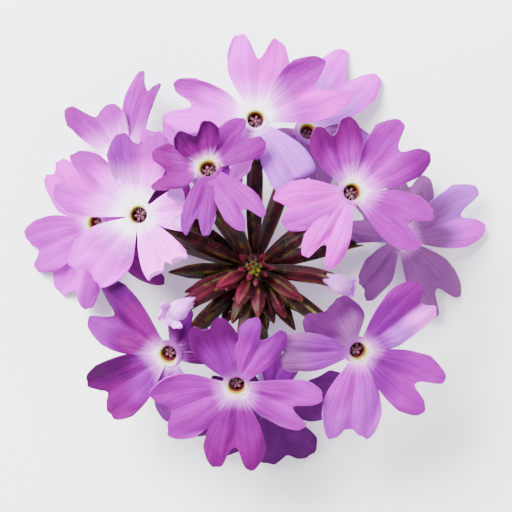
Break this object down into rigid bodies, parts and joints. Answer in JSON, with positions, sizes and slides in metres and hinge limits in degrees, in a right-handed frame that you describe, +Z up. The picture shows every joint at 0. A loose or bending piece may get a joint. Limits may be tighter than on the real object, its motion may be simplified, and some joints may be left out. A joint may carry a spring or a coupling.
{
  "type": "verbena flower head",
  "caption": "Picked verbena flower head lying face up: lilac two-lobed florets on slender tubes round a dark ribbed calyx spike with a short cut stalk.",
  "frame": {"origin": "middle of the bounding box, on the surface that the head lies on", "axes": "+Z up, the way the open florets face; +X across the head to its right when it is looked down on with +Y away from the viewer"},
  "size_m": [0.0664, 0.061, 0.0256],
  "materials": {
    "petal": "matte",
    "bud_petal": "matte",
    "calyx": "satin",
    "young_bud": "satin"
  },
  "bodies": {
    "root": {"spike_with_calyces": "calyx", "spike_tip": "young_bud", "corolla_upper_1": "petal", "corolla_upper_2": "petal", "corolla_upper_3": "petal", "corolla_upper_4": "petal", "corolla_upper_5": "petal", "corolla_upper_6": "petal", "corolla_upper_7": "petal", "corolla_lower_1": "petal", "corolla_lower_2": "petal", "corolla_lower_3": "petal", "corolla_lower_4": "petal", "corolla_lower_5": "petal", "corolla_lower_6": "petal", "bud_left": "bud_petal", "bud_right": "bud_petal"}
  },
  "joints": []
}
